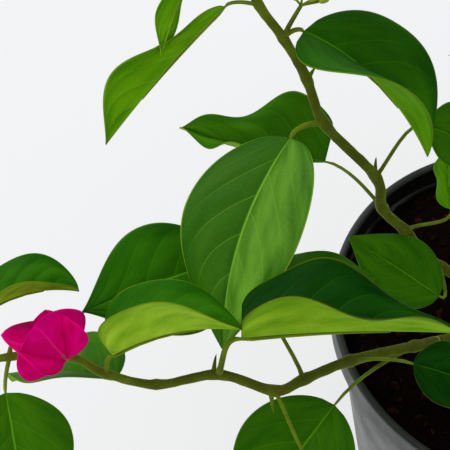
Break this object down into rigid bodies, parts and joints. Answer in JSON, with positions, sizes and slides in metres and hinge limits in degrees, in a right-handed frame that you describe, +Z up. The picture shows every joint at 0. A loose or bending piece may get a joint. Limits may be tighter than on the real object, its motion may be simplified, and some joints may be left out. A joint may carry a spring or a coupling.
{
  "type": "potted bougainvillea bush",
  "caption": "Young bougainvillea bush in a round black plastic nursery pot: arching thorny shoots with folded ovate leaves and magenta bracts round a short woody stump.",
  "frame": {"origin": "centre of the pot's flat underside, on the surface it stands on", "axes": "+Z up through the pot; the two long shoots that the picture shows reach out to -X, and the picture looks along +Y and down"},
  "size_m": [0.5053, 0.525, 0.4276],
  "materials": {
    "pot_plastic": "black moulded plastic, satin, lightly scuffed",
    "potting_soil": "dark crumbly potting compost with reddish bark bits",
    "woody_stem": "grey-brown ridged bark",
    "green_stem": "olive green young bark with fine ridges and short thorns",
    "foliage": "satin leaves, deep green above and yellow-green beneath"
  },
  "bodies": {
    "root": {"pot": "pot_plastic", "soil": "potting_soil", "trunk": "woody_stem", "bough_left_high": "green_stem", "foliage_left_high": "foliage", "bough_left_low": "green_stem", "foliage_left_low": "foliage", "bough_front_left": "green_stem", "foliage_front_left": "foliage", "bough_front": "green_stem", "foliage_front": "foliage", "bough_front_right": "green_stem", "foliage_front_right": "foliage", "bough_right": "green_stem", "foliage_right": "foliage", "bough_back_right": "green_stem", "foliage_back_right": "foliage", "bough_back": "green_stem", "foliage_back": "foliage", "bough_back_left": "green_stem", "foliage_back_left": "foliage", "bough_top_right": "green_stem", "foliage_top_right": "foliage", "bough_top_back": "green_stem", "foliage_top_back": "foliage"}
  },
  "joints": []
}
